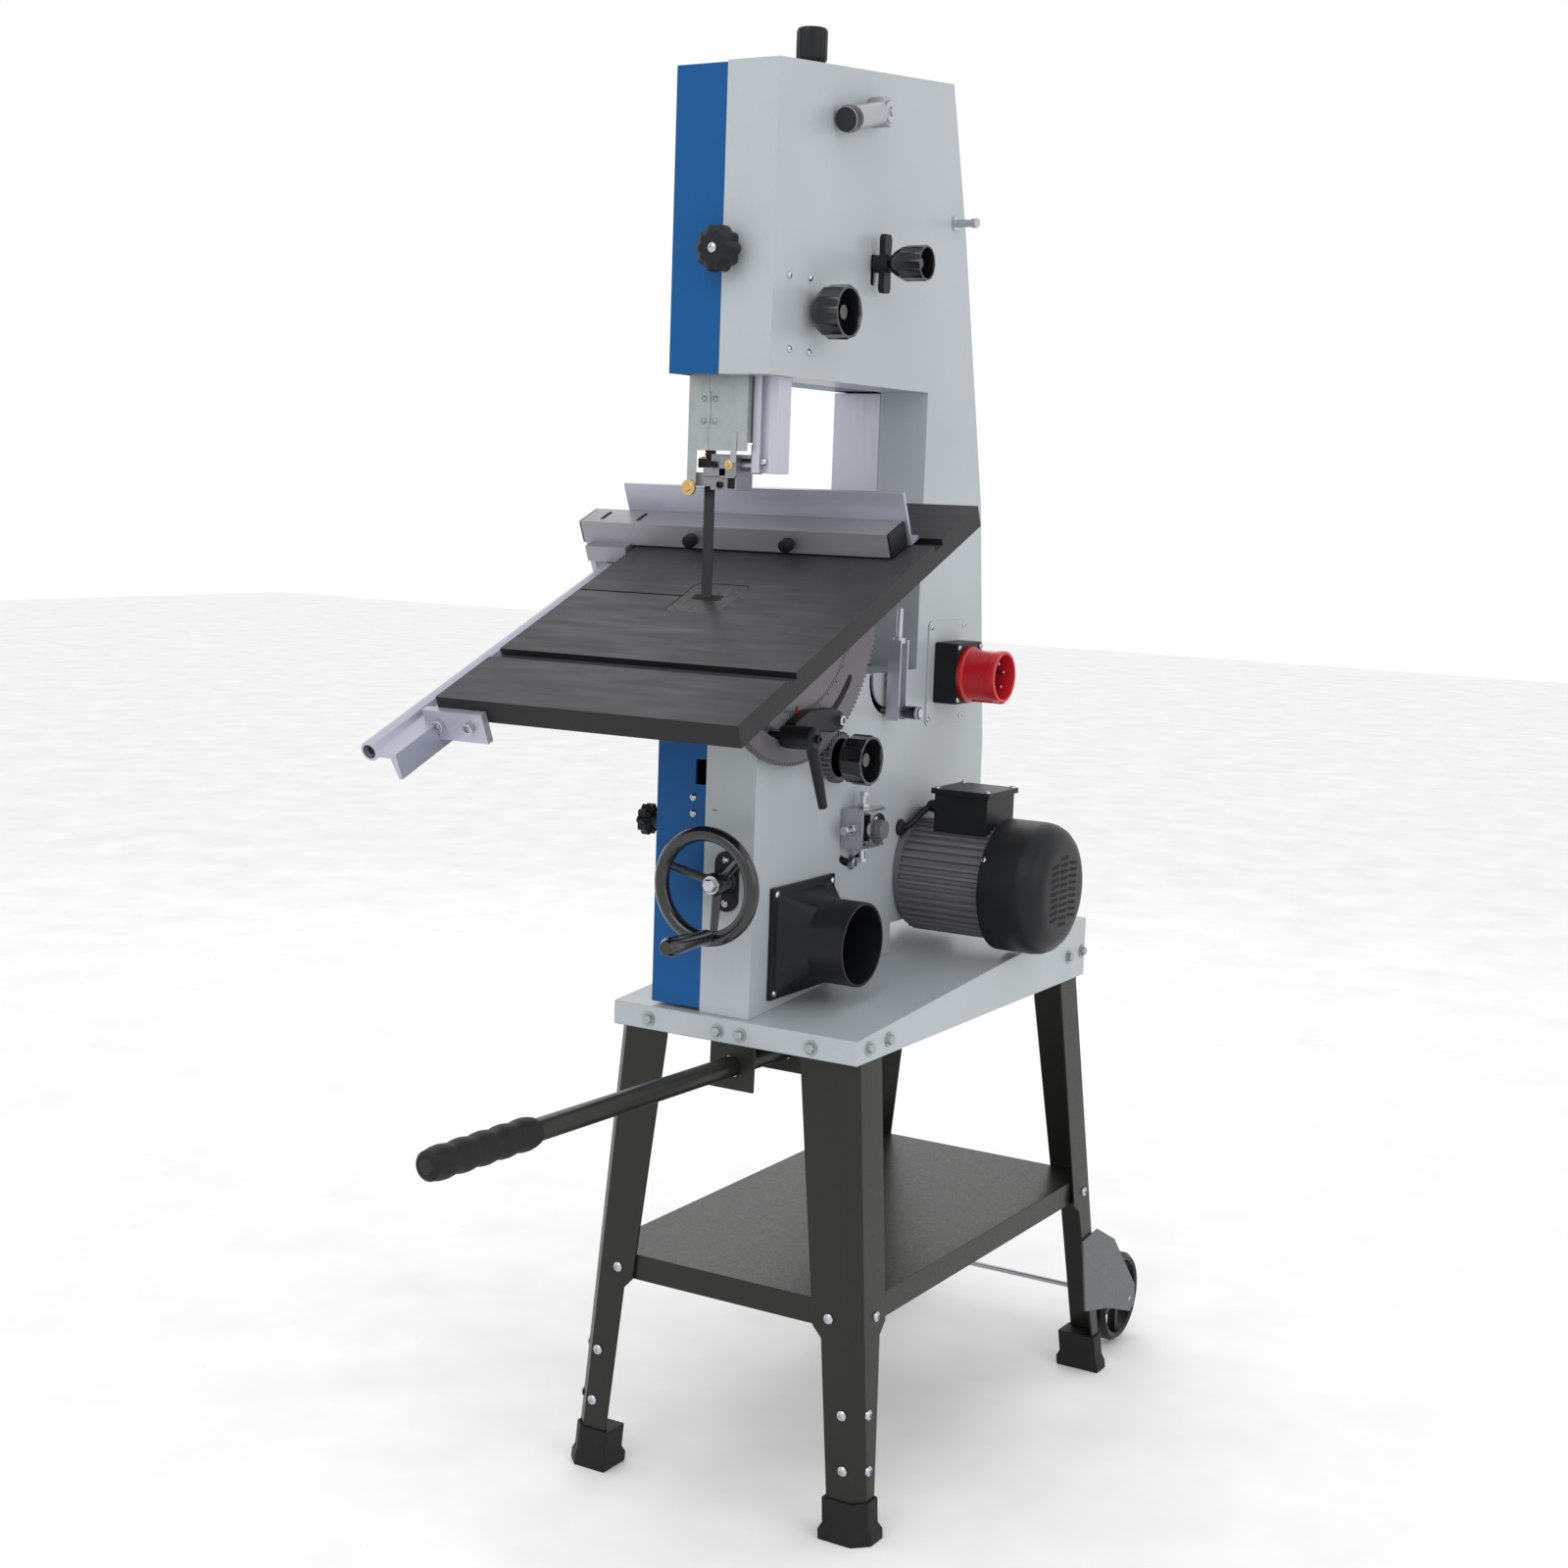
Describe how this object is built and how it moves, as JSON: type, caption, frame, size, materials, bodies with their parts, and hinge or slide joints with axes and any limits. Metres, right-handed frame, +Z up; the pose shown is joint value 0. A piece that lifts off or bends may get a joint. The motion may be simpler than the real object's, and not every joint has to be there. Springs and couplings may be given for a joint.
{
  "type": "band saw",
  "caption": "Two-wheel workshop band saw on a sheet-metal stand, with a tilting table, rip fence, side motor, pull-out lifting bar and transport wheels.",
  "frame": {"origin": "middle of the footprint, on the floor", "axes": "+Z up; +X towards the blade side and the lifting bar; +Y towards the motor side, away from the doors"},
  "size_m": [1.396, 0.594, 1.764],
  "materials": {
    "grey_paint": "light grey hammered enamel",
    "blue_paint": "satin blue enamel",
    "dark_paint": "dark olive-black enamel",
    "rubber": "matt black rubber",
    "table_iron": "ground cast iron, dark",
    "casting": "plain grey casting",
    "aluminium": "clear anodised",
    "steel": "bright and galvanised steel",
    "black_plastic": "moulded black, fine grain",
    "red_plastic": "moulded red"
  },
  "bodies": {
    "frame": {"base_plate": "grey_paint", "leg_front_near": "dark_paint", "leg_rear_near": "dark_paint", "leg_front_far": "dark_paint", "leg_rear_far": "dark_paint", "foot_front_near": "rubber", "foot_rear_near": "rubber", "foot_front_far": "rubber", "foot_rear_far": "rubber", "shelf": "dark_paint", "lift_bracket": "dark_paint", "caster_bracket_front": "dark_paint", "caster_bracket_rear": "dark_paint", "caster_axle": "steel", "casing": "grey_paint", "column_cover": "aluminium", "saw_blade": "steel", "drive_belt": "rubber", "lower_bearing": "steel", "motor_body": "aluminium", "motor_cowl": "black_plastic", "terminal_box": "black_plastic", "motor_lead": "rubber", "power_inlet": "red_plastic", "dust_port": "black_plastic", "trunnion_cradle": "casting"},
    "upper_door_body": {"upper_door": "blue_paint"},
    "lower_door_body": {"lower_door": "blue_paint"},
    "lower_lock": {"lower_lock_knob": "black_plastic"},
    "upper_lock": {"upper_lock_knob": "black_plastic"},
    "lower_wheel_body": {"lower_wheel": "casting"},
    "motor_rotor": {"motor_pulley": "casting"},
    "carriage": {"wheel_carriage": "casting"},
    "axle_bracket": {"tracking_bracket": "steel"},
    "upper_wheel_body": {"upper_wheel": "casting"},
    "tension_screw": {"tension_knob": "black_plastic"},
    "quick_lever": {"tension_lever": "steel"},
    "tracking_screw": {"tracking_knob": "black_plastic"},
    "lock_nut": {"wing_nut": "black_plastic"},
    "guide_carrier": {"guide_post": "aluminium", "guide_block": "aluminium", "blade_guard": "steel"},
    "guard_front": {"guard_flap": "steel"},
    "guide_pinion": {"height_knob": "black_plastic"},
    "tilting_table": {"table": "table_iron", "tilt_sector": "casting", "fence_rail": "aluminium"},
    "tilt_pinion": {"tilt_knob": "black_plastic"},
    "tilt_clamp": {"clamp_lever": "black_plastic"},
    "level_stop": {"table_stop": "aluminium"},
    "fence": {"fence_beam": "aluminium", "fence_plate": "aluminium"},
    "fence_screw_a": {"fence_screw_front": "black_plastic"},
    "fence_screw_b": {"fence_screw_rear": "black_plastic"},
    "idler": {"idler_arm": "steel"},
    "crank_wheel": {"handwheel": "black_plastic"},
    "crank": {"crank_grip": "black_plastic"},
    "lifting_bar": {"lift_bar": "dark_paint"},
    "caster_a": {"caster_front": "rubber"},
    "caster_b": {"caster_rear": "rubber"}
  },
  "joints": [
    {"name": "upper_door_hinge", "type": "hinge", "parent": "frame", "child": "upper_door_body", "pos_m": [-0.29611, 0.014, 1.52], "axis": [0, 0, -1], "range_deg": [0, 90]},
    {"name": "lower_door_hinge", "type": "hinge", "parent": "frame", "child": "lower_door_body", "pos_m": [-0.29611, 0.014, 0.8], "axis": [0, 0, -1], "range_deg": [0, 90]},
    {"name": "lower_lock_turn", "type": "hinge", "parent": "lower_door_body", "child": "lower_lock", "pos_m": [0.1219, -0.065, 0.819], "axis": [0, -1, 0], "range_deg": [0, 180]},
    {"name": "upper_lock_turn", "type": "hinge", "parent": "frame", "child": "upper_lock", "pos_m": [0.1559, 0.023, 1.488], "axis": [1, 0, 0], "range_deg": [0, 180]},
    {"name": "lower_wheel_spin", "type": "hinge", "parent": "frame", "child": "lower_wheel_body", "pos_m": [-0.0981, 0.005, 0.803], "axis": [0, 1, 0], "continuous": true},
    {"name": "motor_spin", "type": "hinge", "parent": "frame", "child": "motor_rotor", "pos_m": [-0.2841, 0.035, 0.72], "axis": [0, 1, 0], "continuous": true},
    {"name": "tension_slide", "type": "slide", "parent": "frame", "child": "carriage", "axis": [0, 0, 1], "range_m": [-0.004, 0]},
    {"name": "tracking_tilt", "type": "hinge", "parent": "carriage", "child": "axle_bracket", "pos_m": [-0.0981, 0.037, 1.533], "axis": [1, 0, 0], "range_deg": [0, 1.5]},
    {"name": "upper_wheel_spin", "type": "hinge", "parent": "axle_bracket", "child": "upper_wheel_body", "pos_m": [-0.0981, -0.025, 1.533], "axis": [0, 1, 0], "continuous": true},
    {"name": "tension_turn", "type": "hinge", "parent": "frame", "child": "tension_screw", "pos_m": [-0.0291, 0.028, 1.745], "axis": [0, 0, 1], "range_deg": [-960, 0]},
    {"name": "quick_release", "type": "hinge", "parent": "frame", "child": "quick_lever", "pos_m": [-0.0781, 0.095, 1.671], "axis": [0, -1, 0], "range_deg": [0, 180]},
    {"name": "tracking_turn", "type": "hinge", "parent": "carriage", "child": "tracking_screw", "pos_m": [-0.0981, 0.135, 1.495], "axis": [0, 1, 0], "range_deg": [0, 240]},
    {"name": "lock_nut_turn", "type": "hinge", "parent": "carriage", "child": "lock_nut", "pos_m": [-0.0981, 0.1, 1.495], "axis": [0, 1, 0], "range_deg": [-90, 90]},
    {"name": "guide_height", "type": "slide", "parent": "frame", "child": "guide_carrier", "axis": [0, 0, 1], "range_m": [-0.085, 0.085]},
    {"name": "guard_fold", "type": "hinge", "parent": "guide_carrier", "child": "guard_front", "pos_m": [0.0994, -0.0192, 1.33], "axis": [0, 0, 1], "range_deg": [0, 90]},
    {"name": "height_turn", "type": "hinge", "parent": "frame", "child": "guide_pinion", "pos_m": [0.0379, 0.105, 1.426], "axis": [0, 1, 0], "range_deg": [-310, 310]},
    {"name": "table_tilt", "type": "hinge", "parent": "frame", "child": "tilting_table", "pos_m": [0.0789, 0.085, 1.088], "axis": [0, 1, 0], "range_deg": [-23.2, 21.7]},
    {"name": "tilt_turn", "type": "hinge", "parent": "frame", "child": "tilt_pinion", "pos_m": [-0.03011, 0.115, 0.8969], "axis": [0, 1, 0], "range_deg": [-140, 150]},
    {"name": "clamp_turn", "type": "hinge", "parent": "frame", "child": "tilt_clamp", "pos_m": [0.1089, 0.115, 0.93389], "axis": [0, 1, 0], "range_deg": [-40, 40]},
    {"name": "stop_swing", "type": "hinge", "parent": "frame", "child": "level_stop", "pos_m": [-0.1761, 0.1, 0.985], "axis": [0, -1, 0], "range_deg": [0, 88]},
    {"name": "fence_slide", "type": "slide", "parent": "tilting_table", "child": "fence", "axis": [0.9184, 0, -0.3955], "range_m": [-0.1, 0.09]},
    {"name": "fence_screw_front_turn", "type": "hinge", "parent": "fence", "child": "fence_screw_a", "pos_m": [-0.0242, -0.121, 1.152], "axis": [0.9184, 0, -0.3955], "range_deg": [0, 180]},
    {"name": "fence_screw_rear_turn", "type": "hinge", "parent": "fence", "child": "fence_screw_b", "pos_m": [-0.0242, 0.02, 1.152], "axis": [0.9184, 0, -0.3955], "range_deg": [0, 180]},
    {"name": "idler_swing", "type": "hinge", "parent": "frame", "child": "idler", "pos_m": [-0.0981, 0.065, 0.803], "axis": [0, -1, 0], "range_deg": [0, 8]},
    {"name": "handwheel_turn", "type": "hinge", "parent": "frame", "child": "crank_wheel", "pos_m": [0.1659, 0.0505, 0.759], "axis": [1, 0, 0], "range_deg": [0, 720]},
    {"name": "crank_spin", "type": "hinge", "parent": "crank_wheel", "child": "crank", "pos_m": [0.2359, 0.061, 0.7025], "axis": [1, 0, 0], "continuous": true},
    {"name": "lift_bar_slide", "type": "slide", "parent": "frame", "child": "lifting_bar", "axis": [0.9997, 0, 0.0244], "range_m": [-0.38, 0]},
    {"name": "caster_front_spin", "type": "hinge", "parent": "frame", "child": "caster_a", "pos_m": [-0.63411, -0.122, 0.068], "axis": [0, 1, 0], "continuous": true},
    {"name": "caster_rear_spin", "type": "hinge", "parent": "frame", "child": "caster_b", "pos_m": [-0.63411, 0.256, 0.068], "axis": [0, 1, 0], "continuous": true}
  ],
  "couplings": [
    {"joint": "upper_wheel_spin", "follows": "lower_wheel_spin", "ratio": 1},
    {"joint": "motor_spin", "follows": "lower_wheel_spin", "ratio": 2.9688},
    {"joint": "tension_turn", "follows": "tension_slide", "rad_per_m": 4188.8},
    {"joint": "tracking_tilt", "follows": "tracking_turn", "ratio": 0.00625},
    {"joint": "height_turn", "follows": "guide_height", "rad_per_m": -62.5},
    {"joint": "tilt_turn", "follows": "table_tilt", "ratio": -6.3333},
    {"joint": "idler_swing", "follows": "handwheel_turn", "ratio": 0.011111}
  ]
}
